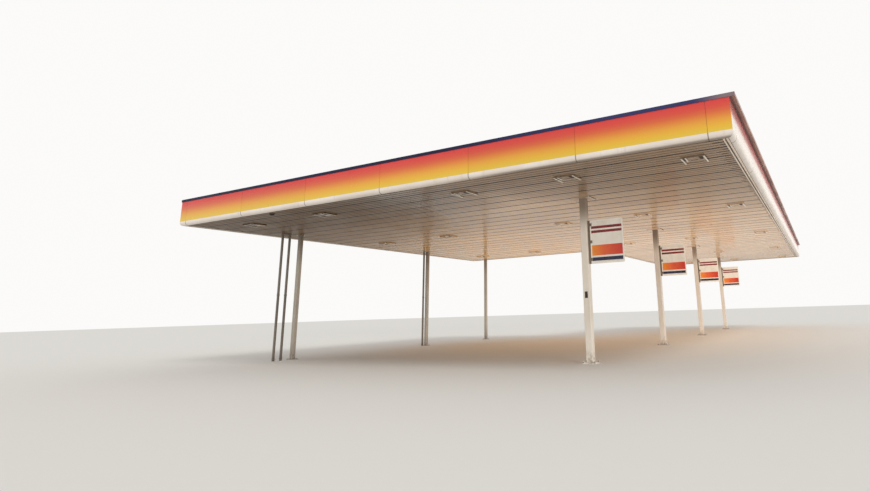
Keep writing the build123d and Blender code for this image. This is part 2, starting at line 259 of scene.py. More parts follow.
def addNode(kind, inputs, tree=None, **settings):
    # shader node in the given tree, or else in the tree of the sockets that it reads
    linked = [value for value in inputs.values() if isinstance(value, bpy.types.NodeSocket)]
    tree = tree or linked[0].id_data
    node = tree.nodes.new(kind)
    for key, value in settings.items():
        setattr(node, key, value)
    for key, value in inputs.items():
        if isinstance(value, bpy.types.NodeSocket):
            tree.links.new(value, node.inputs[key])
        else:
            node.inputs[key].default_value = value
    return node


def mathOf(operation, first, second=0.0, third=0.0):
    return addNode("ShaderNodeMath", {0: first, 1: second, 2: third}, operation=operation).outputs[0]


def awayFrom(value, middle):
    return mathOf("ABSOLUTE", mathOf("SUBTRACT", value, middle))


def countOf(value, start, pitch):
    return mathOf("DIVIDE", mathOf("SUBTRACT", value, start), pitch)


def between(value, low, high):
    return mathOf("MULTIPLY", mathOf("GREATER_THAN", value, low), mathOf("LESS_THAN", value, high))


def spreadOf(value, low, high, newLow=0.0, newHigh=1.0, smooth=True):
    # value between low and high spread over the new range and held there outside it
    return addNode("ShaderNodeMapRange", {
        "Value": value, "From Min": low, "From Max": high, "To Min": newLow, "To Max": newHigh,
    }, interpolation_type="SMOOTHSTEP" if smooth else "LINEAR").outputs[0]


def noiseOf(place, scale, detail, stretch=(1, 1, 1)):
    mapped = addNode("ShaderNodeMapping", {"Vector": place, "Scale": stretch}).outputs[0]
    return addNode("ShaderNodeTexNoise", {"Vector": mapped, "Scale": scale, "Detail": detail}).outputs["Fac"]


def patchesOf(place, pattern, start, full, low=0.0, high=1.0):
    # noise of some scale, detail and stretch, spread from low to high between two of its values
    return spreadOf(noiseOf(place, *pattern), start, full, low, high)


def toneOf(counted):
    # one random number for each whole step of a count
    steps = mathOf("FLOOR", counted)
    return addNode("ShaderNodeTexWhiteNoise", {"W": steps}, noise_dimensions="1D").outputs[0]


def rampOf(value, stops):
    node = addNode("ShaderNodeValToRGB", {"Fac": value})
    elements = node.color_ramp.elements
    for extra in range(len(stops) - 2):
        elements.new(0.5)
    for element, (position, shade) in zip(elements, stops):
        element.position, element.color = position, shade
    return node.outputs["Color"]


def mixOf(factor, first, second, blend="MIX"):
    inputs = {0: factor, 6: first, 7: second}
    return addNode("ShaderNodeMix", inputs, data_type="RGBA", blend_type=blend).outputs[2]


def bumpOf(height, strength, distance, under=None):
    inputs = {"Height": height, "Strength": strength, "Distance": distance}
    if under is not None:
        inputs["Normal"] = under
    return addNode("ShaderNodeBump", inputs).outputs[0]


def grainOf(place, pattern, strength, distance, under=None):
    return bumpOf(noiseOf(place, *pattern), strength, distance, under)


def newFinish(name, metallic=0.0, roughness=0.5, specular=0.5, coat=0.0, coatRoughness=0.1):
    # material, its shader with the plain sockets set, the place on the part and that place's three numbers
    finish = bpy.data.materials.new(name)
    finish.use_nodes = True
    tree = finish.node_tree
    shader = tree.nodes["Principled BSDF"]
    for key, value in (
        ("Metallic", metallic), ("Roughness", roughness), ("Specular IOR Level", specular),
        ("Coat Weight", coat), ("Coat Roughness", coatRoughness),
    ):
        shader.inputs[key].default_value = value
    place = addNode("ShaderNodeTexCoord", {}, tree).outputs["Object"]
    return finish, shader, place, list(addNode("ShaderNodeSeparateXYZ", {0: place}).outputs)


def join(shader, base, roughness, normal):
    for key, socket in (("Base Color", base), ("Roughness", roughness), ("Normal", normal)):
        if socket is not None:
            shader.id_data.links.new(socket, shader.inputs[key])


def coverWith(place, base, layers):
    # colours that come on in patches; a layer is its noise pattern, the noise at which it starts and is full,
    # its most, and its colour
    for pattern, start, full, most, shade in layers:
        base = mixOf(patchesOf(place, pattern, start, full, 0.0, most), base, shade)
    return base


def shadeBy(numbers, base, layers):
    # colours that come on by place, in this script mostly painted shade and glare; a layer is its colour, its
    # most, and one or two spans, each of which is an axis (0 to 2) and the places on it at which the colour
    # starts and is full
    for shade, most, *spans in layers:
        for axis, start, full in spans:
            most = spreadOf(numbers[axis], start, full, 0.0, most)
        base = mixOf(most, base, shade)
    return base


# Painted shade along the soffit's front edge, on the sheets and on the collars, fittings and lenses there,
# and a faint amber painted reflection over the left side
frontShade = {  # most, dull and tinted: two places from left to right, and the share at each, spread between them
    "start": 0.9, "reach": 2.9, "slope": 1.3, "middle": 2.4, "shade": colour(80, 62, 46),
    "most": (-1.0, 3.0, 0.92, 0.75), "dull": (-3.0, 1.0, 0.34, 0.06),
    "warmReflection": (1.0, 0.87, 0.6, 1.0), "warmReflectionSpan": (-3.2, 1.2, 1.0, 0.0),
}


def frontShadeOf(x, y):
    # painted shade: most along the front edge, and gone at a reach that grows away from the middle line
    start = front + frontShade["start"]
    end = mathOf("MULTIPLY_ADD", awayFrom(x, frontShade["middle"]), frontShade["slope"], start + frontShade["reach"])
    return spreadOf(y, start, end, spreadOf(x, *frontShade["most"]), 0.0)


def frontShadeAndReflectionOf(base, x, film):
    # the painted front shade over a colour, and then the faint amber painted reflection over the left side
    paintedFrontShade = mixOf(film, base, frontShade["shade"])
    return mixOf(spreadOf(x, *frontShade["warmReflectionSpan"]), paintedFrontShade, frontShade["warmReflection"], "MULTIPLY")


def sideRow(side, numbers):
    # the number of a place that runs along the side, and the side's joints on it
    axis = int(np.argmax(np.abs(side["along"])))
    return numbers[axis], side["start"][axis] + side["along"][axis] * side["joints"]


def jointNearness(along, joints, reach, most):
    # most on the nearest joint, falling to 0 at the reach
    nearest = awayFrom(along, joints[0])
    for joint in joints[1:]:
        nearest = mathOf("MINIMUM", nearest, awayFrom(along, joint))
    return spreadOf(nearest, 0.0, reach, most, 0.0)


# Fascia panels and nose trim. In every look a noise pattern is (scale, detail) or (scale, detail, stretch).
# Drifts, streaks and glosses give it with the noise at which they start and are full, and with their least
# and most. Grains give it with a strength and a depth.

panelLook = {
    "stops": [
        (0.04, colour(221, 186, 52)), (0.18, colour(226, 175, 42)), (0.34, colour(224, 156, 46)),
        (0.50, colour(218, 124, 42)), (0.63, colour(211, 95, 44)), (0.77, colour(210, 70, 48)),
        (0.92, colour(211, 58, 54)),
    ],
    "glareSide": "right",
    "glareAndShadeStops": [  # the right side's colours: pale in the middle as painted glare, and a darker red at the top as painted shade under the coping
        (0.30, colour(244, 232, 218)), (0.45, colour(240, 214, 200)), (0.58, colour(214, 136, 122)),
        (0.70, colour(186, 82, 74)), (0.92, colour(168, 66, 62)),
    ],
    "edges": (0.7, 3.0), "wander": 0.05, "pitch": 3.0, "panelTone": 0.04,
    "jointReach": 0.01, "jointDark": 0.3, "jointDirt": colour(120, 52, 30),
    "streaks": ((6.0, 4.0, (1, 1, 0.08)), 0.5, 0.8, 0.0, 0.14), "streakRise": (0.75, 1.0),
    "streakDirt": colour(96, 62, 56),
    "roughness": 0.2, "coat": 0.2, "coatRoughness": 0.05,
    "gloss": ((1.4, 4.0), 0.3, 0.7, 0.16, 0.28), "dullTop": (0.7, 0.9, 0.0, 0.25),
    "wave": ((0.9, 1.0), 0.12, 0.02), "grain": ((300.0, 2.0), 0.06, 0.001),
}
stripLook = {
    "dim": 0.45, "dust": ((40.0, 3.0), 0.5, 0.8, 0.0, 0.3), "dirt": colour(90, 62, 48), "bump": (0.2, 0.001),
}
noseLook = {
    "shade": colour(231, 222, 214), "shadeTwo": colour(223, 213, 203), "dirt": colour(128, 112, 98),
    "drift": ((1.2, 4.0), 0.35, 0.65), "runs": ((11.0, 4.0, (1, 1, 0.1)), 0.56, 0.85, 0.0, 0.22),
    "jointReach": 0.03, "jointDark": 0.4, "roughness": 0.34,
    "shadedSide": "front", "shadeRise": (0.05, 0.006), "shadeMost": 0.8, "shadeSpan": (1.0, 5.0),
    "gloss": ((2.0, 4.0), 0.3, 0.7, 0.28, 0.42), "grain": ((220.0, 2.0), 0.1, 0.001),
}


def gradeOf(place, z, stops):
    # height on the panel as a share, and the colour there, whose edges wander a little along the roof
    share = spreadOf(z, level["panelBottom"], level["panelTop"], smooth=False)
    most = panelLook["wander"]
    wander = mathOf("MULTIPLY_ADD", noiseOf(place, *panelLook["edges"]), most, -most / 2)
    return share, rampOf(mathOf("ADD", share, wander), stops)


def panelFinish(side):
    # printed panels: colour by height, each panel a little lighter or darker, grime along the joints, streaks
    # down from the coping, duller towards the top
    look = panelLook
    finish, shader, place, numbers = newFinish(
        "gradedPanel_" + side["name"], roughness=look["roughness"],
        coat=look["coat"], coatRoughness=look["coatRoughness"],
    )
    along, joints = sideRow(side, numbers)
    # the right side takes the stops that hold painted glare and painted shade
    stops = look["glareAndShadeStops"] if side["name"] == look["glareSide"] else look["stops"]
    share, base = gradeOf(place, numbers[2], stops)
    tone = toneOf(countOf(along, joints[0], look["pitch"]))
    lift = spreadOf(tone, 0.0, 1.0, 1.0 - look["panelTone"], 1.0)
    grey = addNode("ShaderNodeCombineColor", {0: lift, 1: lift, 2: lift}).outputs[0]
    base = mixOf(1.0, base, grey, "MULTIPLY")
    dirt = jointNearness(along, joints, look["jointReach"], look["jointDark"])
    base = mixOf(dirt, base, look["jointDirt"])
    streaks = spreadOf(share, *look["streakRise"], 0.0, patchesOf(place, *look["streaks"]))
    base = mixOf(streaks, base, look["streakDirt"])
    gloss = mathOf("ADD", patchesOf(place, *look["gloss"]), spreadOf(share, *look["dullTop"]))
    join(shader, base, gloss, grainOf(place, *look["grain"], grainOf(place, *look["wave"])))
    return finish


def jointStripFinish():
    # backing strip in the open joints: the panels' own colours in shade, with dust on them
    finish, shader, place, numbers = newFinish("jointStrip")
    dim = np.array([stripLook["dim"]] * 3 + [1.0])
    stops = [(position, shade * dim) for position, shade in panelLook["stops"]]
    base = gradeOf(place, numbers[2], stops)[1]
    dust = patchesOf(place, *stripLook["dust"])
    join(shader, mixOf(dust, base, stripLook["dirt"]), None, bumpOf(dust, *stripLook["bump"]))
    return finish


def noseFinish(side):
    # warm grey trim with soft streaks, grime at the joints, and painted shade on the underside of the front
    # one
    look, dirt = noseLook, noseLook["dirt"]
    finish, shader, place, numbers = newFinish("noseTrim_" + side["name"], roughness=look["roughness"])
    along, joints = sideRow(side, numbers)
    base = mixOf(patchesOf(place, *look["drift"]), look["shade"], look["shadeTwo"])
    base = mixOf(jointNearness(along, joints, look["jointReach"], look["jointDark"]), base, dirt)
    base = mixOf(patchesOf(place, *look["runs"]), base, dirt)
    # painted shade under the front trim's curve: darker towards its bottom edge and towards the right
    if side["name"] == look["shadedSide"]:
        start, full = (level["noseBottom"] + rise for rise in look["shadeRise"])
        base = shadeBy(numbers, base, [(dirt, look["shadeMost"], (2, start, full), (0, *look["shadeSpan"]))])
    join(shader, base, patchesOf(place, *look["gloss"]), grainOf(place, *look["grain"]))
    return finish


# Soffit sheets

soffitLook = {
    "cover": 0.762, "lapGroove": 3, "pitch": 0.1905, "crown": 0.0008, "roughness": 0.2, "specular": 0.42,
    "shade": colour(251, 217, 180), "shadeTwo": colour(243, 206, 168), "dirt": colour(166, 130, 96),
    "drift": ((0.35, 4.0), 0.3, 0.7), "sheetTone": 0.2,
    "smears": ((2.2, 5.0, (0.2, 1, 1)), 0.5, 0.85, 0.0, 0.25),
    "grooveDustAndShade": colour(40, 27, 19), "grooveRise": (0.0003, 0.003),
    # by the share of a sheet's cover from the lap: a band of painted shade on the pan beside it, and dust
    # with painted shade in the grooves
    "lapBand": (0.05, 0.085, 0.7, 0.0), "lapDark": (0.05, 0.12, 0.97, 0.55),
    "gloss": ((1.5, 4.0), 0.3, 0.7, 0.1, 0.19),
}
sheetStart = lowOf("soffit_arm")[1]
firstLap = sheetStart + soffitLook["pitch"] * (soffitLook["lapGroove"] + 0.5)


def soffitFinish():
    # ribbed sheets: each its own tone, smears along the ribs, painted shade along the front edge, which dulls
    # the gloss too, with a painted warm reflection on the left, dust and painted shade in the grooves,
    # darkest at each lap, and pans crowned by a cosine across the ribs
    look = soffitLook
    finish, shader, place, (x, y, z) = newFinish(
        "soffitSheet", roughness=look["roughness"], specular=look["specular"],
    )
    base = mixOf(patchesOf(place, *look["drift"]), look["shade"], look["shadeTwo"])
    sheet = countOf(y, firstLap, look["cover"])
    base = mixOf(spreadOf(toneOf(sheet), 0.0, 1.0, 0.0, look["sheetTone"]), base, look["dirt"])
    base = mixOf(patchesOf(place, *look["smears"]), base, look["dirt"])
    # painted shade along the front edge, and a painted warm reflection on the left
    film = frontShadeOf(x, y)
    base = frontShadeAndReflectionOf(base, x, film)
    offset = awayFrom(sheet, mathOf("ROUND", sheet))
    # a band of painted shade beside each lap, then dust and painted shade held in the grooves
    base = mixOf(spreadOf(offset, *look["lapBand"]), base, look["grooveDustAndShade"])
    rise = spreadOf(z, *(level["soffit"] + part for part in look["grooveRise"]))
    heldDustAndShade = mathOf("MULTIPLY", rise, spreadOf(offset, *look["lapDark"]))
    base = mixOf(heldDustAndShade, base, look["grooveDustAndShade"])
    gloss = mathOf("MULTIPLY_ADD", film, spreadOf(x, *frontShade["dull"]), patchesOf(place, *look["gloss"]))
    turns = mathOf("MULTIPLY", countOf(y, sheetStart, look["pitch"]), 2 * math.pi)
    join(shader, base, gloss, bumpOf(mathOf("COSINE", turns), 1.0, look["crown"]))
    return finish


# Metals, deck, lens and flags

metalLook = {
    "dull": ((3.0, 5.0), 0.4, 0.75, 0.4, colour(150, 146, 138)), "glossSpread": (-0.08, 0.12),
    "grain": ((180.0, 2.0), 0.1, 0.001),
}
deckLook = {
    "metallic": 0.35, "roughness": 0.5, "shade": colour(182, 184, 182),
    "layers": [
        ((0.6, 5.0), 0.3, 0.7, 1.0, colour(162, 165, 163)),  # slow drift
        ((0.45, 6.0), 0.52, 0.7, 0.5, colour(128, 124, 112)),  # ponding
        ((4.0, 5.0, (0.12, 1, 1)), 0.5, 0.8, 0.4, colour(140, 134, 120)),  # washed dust
    ],
    "gloss": ((1.2, 4.0), 0.3, 0.7, 0.54, 0.74), "grain": ((1.4, 2.0), 0.25, 0.02),
}
lensLook = {
    "roughness": 0.2, "shade": colour(232, 204, 174), "prism": 0.012, "bump": (0.12, 0.001),
    "layers": [((5.0, 3.0), 0.3, 0.7, 1.0, colour(216, 188, 158))],
}
flagLook = {
    "border": 0.035, "shade": colour(242, 236, 226), "edge": colour(250, 248, 244), "roughness": 0.28,
    "drift": [((3.0, 4.0), 0.3, 0.7, 1.0, colour(233, 226, 214))],
    "bars": [  # share of the height: low, high, colour
        (0.06, 0.14, colour(28, 28, 66)), (0.70, 0.76, colour(130, 30, 36)),
        (0.80, 0.86, colour(130, 30, 36)),
    ],
    "graded": (0.18, 0.42),
    "gradeStops": [(0.0, colour(240, 150, 40)), (0.4, colour(232, 100, 48)), (1.0, colour(206, 48, 40))],
    "film": [((8.0, 5.0, (1, 1, 0.2)), 0.5, 0.8, 0.1, colour(150, 136, 118))],
    "gloss": ((4.0, 3.0), 0.3, 0.7, 0.22, 0.36), "grain": ((2.0, 2.0), 0.1, 0.01),
}


def metalFinish(name, look):
    # zinc-coated metal: angular spangles, dull patches and fine scratches
    roughness = look["roughness"]
    finish, shader, place, numbers = newFinish(name, look["metallic"], roughness)
    cells = addNode("ShaderNodeTexVoronoi", {"Vector": place, "Scale": look["spangle"]}).outputs["Color"]
    spangle = addNode("ShaderNodeSeparateColor", {0: cells}).outputs[0]
    base = mixOf(spangle, *(colour(*shade) for shade in look["shades"]))
    base = coverWith(place, base, [metalLook["dull"]])
    gloss = spreadOf(spangle, 0.0, 1.0, *(roughness + part for part in metalLook["glossSpread"]))
    join(shader, base, gloss, grainOf(place, *metalLook["grain"]))
    return finish


def deckFinish():
    # roof trays: zinc with darker ponding patches and dust washed towards the seams
    finish, shader, place, numbers = newFinish("roofDeckSheet", deckLook["metallic"], deckLook["roughness"])
    base = coverWith(place, deckLook["shade"], deckLook["layers"])
    join(shader, base, patchesOf(place, *deckLook["gloss"]), grainOf(place, *deckLook["grain"]))
    return finish


def lensFinish():
    # frosted lens with a fine square prism pattern: sine of x times sine of y
    finish, shader, place, (x, y, z) = newFinish("lightLens", roughness=lensLook["roughness"])
    turn = 2 * math.pi / lensLook["prism"]
    ridges = mathOf("MULTIPLY", *(mathOf("SINE", mathOf("MULTIPLY", number, turn)) for number in (x, y)))
    # the soffit's painted front shade and painted warm reflection, on the lens too
    base = frontShadeAndReflectionOf(coverWith(place, lensLook["shade"], lensLook["layers"]), x, frontShadeOf(x, y))
    join(shader, base, None, bumpOf(ridges, *lensLook["bump"]))
    return finish


def flagFinish():
    # printed sheet: pale border and field, plain straight bars and one band graded from side to side
    look = flagLook
    finish, shader, place, (x, y, z) = newFinish("flagSheet", roughness=look["roughness"])
    low, high = lowOf(flagPanels[0]), highOf(flagPanels[0])
    rise, run = spreadOf(z, low[2], high[2], smooth=False), spreadOf(x, low[0], high[0], smooth=False)
    base = coverWith(place, look["shade"], look["drift"])
    for lowShare, highShare, shade in look["bars"]:
        base = mixOf(between(rise, lowShare, highShare), base, shade)
    base = mixOf(between(rise, *look["graded"]), base, rampOf(run, look["gradeStops"]))
    low, high = low + look["border"], high - look["border"]
    inside = mathOf("MULTIPLY", between(x, low[0], high[0]), between(z, low[2], high[2]))
    base = coverWith(place, mixOf(inside, look["edge"], base), look["film"])
    join(shader, base, patchesOf(place, *look["gloss"]), grainOf(place, *look["grain"]))
    return finish


# Paints and metals. Shades are the main one, the one it drifts to, and the dirt. Runs and specks are the most
# dirt in streaks and in fine dust, splash is the height that dirt splashes up to, placed is for shadeBy and
# is mostly painted shade and glare, and the last switch lays the soffit's painted front shade over the paint.

paintLook = {
    "drift": (0.8, 4.0), "driftSpan": (0.35, 0.65), "glossSpan": (0.3, 0.7), "glossSpread": (-0.06, 0.10),
    "runs": ((9.0, 3.0, (1, 1, 0.06)), 0.55, 0.8), "specks": ((120.0, 2.0), 0.6, 0.75),
    "splashes": ((14.0, 5.0), 0.3, 0.7, 0.0, 0.75), "splashFrom": 0.02, "peel": ((260.0, 2.0), 0.12, 0.001),
}
plainPaint = {"runs": 0.15, "specks": 0.12, "specular": 0.5, "splash": None, "placed": (), "paintedFrontShade": False}
# painted shade of the roof on the columns: darker at their tops under the soffit, and on the columns further
# in
paintedRoofShade = colour(112, 88, 68)
brightShades = [(250, 244, 234), (242, 234, 222), (170, 156, 138)]
paints = {
    "columnPaint": {
        "shades": [(240, 232, 220), (233, 224, 211), (146, 130, 112)], "roughness": 0.32, "splash": 0.5,
        "placed": [(paintedRoofShade, 0.72, (2, 3.8, 4.65)), (paintedRoofShade, 0.26, (1, -10.0, -5.0))],
    },
    # painted shade: the posts darken towards their tops under the roof
    "postPaint": {
        "shades": [(176, 168, 156), (164, 156, 144), (96, 86, 76)], "roughness": 0.4, "splash": 0.5,
        "placed": [(colour(96, 80, 66), 0.4, (2, 3.6, 4.8))],
    },
    "downpipePaint": {
        "shades": [(120, 111, 101), (108, 99, 90), (76, 68, 60)], "roughness": 0.38, "splash": 0.4,
    },
    # the collars take the soffit's painted front shade
    "collarPaint": {
        "shades": [(228, 200, 170), (218, 190, 160), (140, 114, 90)], "roughness": 0.26, "paintedFrontShade": True,
    },
    "brightTrimPaint": {"shades": brightShades, "roughness": 0.24},
    # painted highlight: the bars' bright paint, which darkens towards the left as painted shade
    "lightBarHighlightPaint": {
        "shades": brightShades, "roughness": 0.24, "placed": [(colour(116, 102, 88), 0.6, (0, 2.0, -2.0))],
    },
    "soffitTrimPaint": {"shades": [(240, 226, 210), (231, 216, 199), (140, 118, 98)], "roughness": 0.3},
    # painted shade: the flag strips and their clamps are kept dark for the shade between column and flag
    "flagStripShadePaint": {"shades": [(128, 112, 96), (116, 101, 86), (84, 72, 60)], "roughness": 0.4},
    # the navy lightens towards the right, and near the right corner turns pale brownish as painted glare
    "copingPaint": {
        "shades": [(13, 18, 50), (19, 24, 57), (70, 68, 80)], "roughness": 0.5, "specular": 0.25,
        "runs": 0.08, "specks": 0.06,
        "placed": [(colour(58, 62, 112), 0.6, (0, 1.0, 8.0)), (colour(146, 126, 124), 0.7, (0, 8.6, 9.4))],
    },
    # painted glare: the navy coping painted brownish as the sun's glare shows it, with painted shade under
    # its overhang
    "glareAndShadeCopingPaint": {
        "shades": [(176, 138, 122), (148, 114, 102), (78, 58, 54)], "roughness": 0.3,
        "runs": 0.35, "specks": 0.25,
        "placed": [(colour(66, 54, 50), 0.75, (2, 5.73, 5.712), (0, 9.485, 9.45))],
    },
    # the fittings take the soffit's painted front shade
    "lightFittingPaint": {
        "shades": [(240, 211, 178), (231, 201, 168), (146, 118, 92)], "roughness": 0.24, "paintedFrontShade": True,
    },
    "darkSealantAndShade": {"shades": [(46, 36, 29), (58, 46, 37), (84, 70, 58)], "roughness": 0.6},
}
metals = {
    "frameSteel": {
        "shades": [(150, 152, 152), (132, 134, 136)], "roughness": 0.5, "metallic": 0.6, "spangle": 30.0,
    },
    "flashingZinc": {
        "shades": [(186, 188, 188), (168, 170, 171)], "roughness": 0.42, "metallic": 0.7, "spangle": 22.0,
    },
    "zincFastener": {
        "shades": [(176, 176, 172), (150, 150, 148)], "roughness": 0.38, "metallic": 0.9, "spangle": 90.0,
    },
}


def paintedFinish(name, settings):
    # sheen paint: slow tone drift, faint runs down upright faces, fine dust, splashes near the foot, colours
    # that come on by place, mostly painted shade and glare, the soffit's painted front shade where asked, and
    # a little orange peel
    look = {**plainPaint, **settings}
    roughness = look["roughness"]
    finish, shader, place, numbers = newFinish(name, roughness=roughness, specular=look["specular"])
    x, y, z = numbers
    shade, shadeTwo, dirt = (colour(*part) for part in look["shades"])
    drift = noiseOf(place, *paintLook["drift"])
    base = mixOf(spreadOf(drift, *paintLook["driftSpan"]), shade, shadeTwo)
    base = coverWith(place, base, [(*paintLook[layer], look[layer], dirt) for layer in ("runs", "specks")])
    if look["splash"]:
        wet = patchesOf(place, *paintLook["splashes"])
        base = mixOf(spreadOf(z, paintLook["splashFrom"], look["splash"], wet, 0.0), base, dirt)
    base = shadeBy(numbers, base, look["placed"])
    # the soffit's painted front shade and painted warm reflection
    if look["paintedFrontShade"]:
        base = frontShadeAndReflectionOf(base, x, frontShadeOf(x, y))
    gloss = spreadOf(drift, *paintLook["glossSpan"], *(roughness + part for part in paintLook["glossSpread"]))
    join(shader, base, gloss, grainOf(place, *paintLook["peel"]))
    return finish


finishes = {name: paintedFinish(name, look) for name, look in paints.items()}
finishes.update({name: metalFinish(name, look) for name, look in metals.items()})
finishes.update(jointStrip=jointStripFinish(), soffitSheet=soffitFinish(), roofDeckSheet=deckFinish())
finishes.update(lightLens=lensFinish(), flagSheet=flagFinish())
nodeFinishes = {  # by the start of the node's name, the first that fits; every other node is frame steel
    "pump_column": "columnPaint", "shop_post": "postPaint", "flag_panel": "flagSheet",
    "flag_strips": "flagStripShadePaint", "column_collars": "collarPaint", "downpipes": "downpipePaint",
    "soffit_lights": "lightFittingPaint", "soffit_trim": "soffitTrimPaint", "soffit_arm": "soffitSheet",
    "soffit_shop_bay": "soffitSheet", "roof_deck": "roofDeckSheet", "coping_right": "glareAndShadeCopingPaint",
    "coping_": "copingPaint", "": "frameSteel",
}


def finishNode(node, finish):
    mesh = nodes[node].data
    mesh.materials.clear()
    mesh.materials.append(finish)


for node in nodes:
    finishNode(node, finishes[next(name for start, name in nodeFinishes.items() if node.startswith(start))])
for side in sides:
    finishNode("fascia_" + side["name"], panelFinish(side))
    finishNode("nose_trim_" + side["name"], noseFinish(side))
print("finishes made,", len(bpy.data.materials))


# Roof edge: dark seams round the nose trim, backing strips in the panel joints, filled coping joints

noseSeam = {"width": 0.01, "proud": 0.001, "radius": 0.1, "steps": 12, "deepest": 0.5}
noseSeal = {"depth": 0.116, "width": 0.011, "height": 0.004, "bevel": 0.001}
panelStrip = {"width": 0.0058, "depth": 0.009, "thick": 0.006, "bevel": 0.0005}
copingFill = {"width": 0.0048, "back": 0.002, "deepest": 0.14}


def noseSeams(side):
    # line down the face, round the quarter circle and along the underside, with a flat strip carried on it
    depth = min(np.ptp(nodePoints("nose_trim_" + side["name"]) @ side["inward"]), noseSeam["deepest"])
    turn = np.linspace(0, np.pi / 2, noseSeam["steps"])
    radius = noseSeam["radius"]
    depths = np.concatenate([[0.0], radius - radius * np.cos(turn), [depth]])
    rounded = level["noseBottom"] + radius - radius * np.sin(turn)
    heights = np.concatenate([[level["panelBottom"]], rounded, [level["noseBottom"]]])
    outDepth = np.concatenate([[-1.0], -np.cos(turn), [0.0]])
    outHeight = np.concatenate([[0.0], -np.sin(turn), [-1.0]])
    path = sidePoint(side, 0.0, depths, heights)
    outward = outDepth[:, None] * side["inward"] + outHeight[:, None] * upZ
    strip = carryProfile(rectangle(noseSeam["width"], 2 * noseSeam["proud"]), path, side["along"], outward)
    return stampPart(strip, side["joints"][:, None] * side["along"])


def noseSeals():
    # bead of sealant round the roof in the corner between the nose trim and the soffit's edge trim
    height = level["trimBottom"] - noseSeal["height"] / 2
    corners = roofCorners + cornerInward * noseSeal["depth"] + upZ * height
    profile = rectangle(noseSeal["width"], noseSeal["height"], noseSeal["bevel"])
    return carryProfile(profile, corners, cornerInward, upZ, closed=True)


def panelStrips(side):
    # upright strip a little behind the face, one in each joint
    heights = np.array([level["panelBottom"], level["panelTop"]])
    ends = sidePoint(side, 0.0, panelStrip["depth"], heights)
    strip = bar(*ends, panelStrip["thick"], panelStrip["width"], side["along"], panelStrip["bevel"])
    return stampPart(strip, side["joints"][:, None] * side["along"])


def copingFills(side):
    # flat filler of the coping's own section, drawn back a little from every face
    drawn = copingFill["back"]
    depths = (nodePoints("coping_" + side["name"]) - side["start"]) @ side["inward"]
    near, far = depths.min() + drawn, min(depths.max(), copingFill["deepest"]) - drawn
    low, high = level["panelTop"] + drawn, level["copingTop"] - drawn
    ends = sidePoint(side, 0.0, np.array([near, far]), (low + high) / 2)
    filler = bar(*ends, copingFill["width"], high - low)
    return stampPart(filler, side["copingJoints"][:, None] * side["along"])


# the dark sealant finish also stands as painted shade in the lap grooves, groove ends, edge trim slot and
# fitting gaps
sealantAndShade, zinc = finishes["darkSealantAndShade"], finishes["zincFastener"]
makePiece("nose_back_seals", [noseSeals()], sealantAndShade)
for side in sides:
    makePiece("nose_seams_" + side["name"], [noseSeams(side)], sealantAndShade)
makePiece("panel_joint_strips", [panelStrips(side) for side in sides], finishes["jointStrip"])
copingSides = [side for side in sides if len(side["copingJoints"])]
makePiece("coping_joint_fills", [copingFills(side) for side in copingSides], sealantAndShade)
print("roof edge joints made")


# Light fittings are found first, because the soffit's laps stop at them

lightPoints = nodePoints("soffit_lights")
lightColumns, lightRows = (bunchMiddles(lightPoints[:, axis], reading["lightGap"]) for axis in (0, 1))
lightHalf = lightColumns[0] - lightPoints[:, 0].min()
lightBottom = lowOf("soffit_lights")[2]
lightPlaces = np.array([
    (x, y, lightBottom) for x in lightColumns for y in lightRows
    if np.any(np.abs(lightPoints[:, :2] - (x, y)).max(1) < lightHalf + reading["lightSlack"])
])
collarHalf = highOf("column_collars")[0] - middleOf(pumpColumns[0])[0]


# Soffit: sealed lap edges that are also painted shade, screws, dark plugs in the groove ends that are also
# painted shade, and painted shade in the slot of the edge trim

lap = {
    "width": 0.02, "drop": 0.0016, "bevel": 0.0005, "beside": 0.032, "clearance": 0.02, "trimWidth": 0.235,
    "shortest": 0.05, "lastBefore": 0.3,
}
screw = {
    "dome": [(0.0075, 0.0005), (0.0075, -0.001), (0.00525, -0.003), (0.001875, -0.004)],
    "beside": 0.05, "margin": 0.3, "railGap": 0.3,
}
# groove end plugs, dark and longer than the closures, so they also stand as painted shade
plugAndShade = {
    "mouth": 0.056, "low": -0.002, "lip": -0.0004, "high": 0.0245, "shortest": 0.12, "longest": 0.42,
    "seed": 5, "shrink": 9.0, "least": 0.2, "lastBefore": 0.2,
}
slot = {  # depth into the roof, width and drop of the dark strip and of the bead, both painted shade of the slot
    "sides": ("right", "inner", "left"), "strip": (0.1785, 0.0165, 0.002), "seal": (0.194, 0.014, 0.002),
    "bevel": 0.0005,
}
postCollar = {"half": 0.14, "hole": 0.077, "thick": 0.003}
lapLines = np.arange(firstLap, back - lap["lastBefore"], soffitLook["cover"])
lapBlocks = [(middleOf(name), collarHalf) for name in pumpColumns]
lapBlocks += [(middleOf(name), postCollar["half"]) for name in shopPosts]
lapBlocks += [(place, lightHalf) for place in lightPlaces]


def leftEndAt(y, margin):
    return (left if y < bayBack - margin else innerX) + margin


def openRuns(beside, margin):
    # y, start and end of each part of the lines beside the laps that no collar or fitting covers
    found = []
    for y in lapLines + beside:
        runs = [(leftEndAt(y, margin), right - margin)]
        for middle, half in lapBlocks:
            if abs(y - middle[1]) < half + lap["width"]:
                low, high = middle[0] - half - lap["clearance"], middle[0] + half + lap["clearance"]
                pairs = [((start, min(end, low)), (max(start, high), end)) for start, end in runs]
                runs = [part for pair in pairs for part in pair if part[1] - part[0] > lap["shortest"]]
        found += [(y, start, end) for start, end in runs]
    return found


def lapEdges():
    # dark sealed strip beside each lap, also painted shade in the lap groove
    height = level["soffit"] - lap["drop"] / 2
    return [
        bar((start, y, height), (end, y, height), lap["width"], lap["drop"], bevel=lap["bevel"])
        for y, start, end in openRuns(lap["beside"], lap["trimWidth"])
    ]


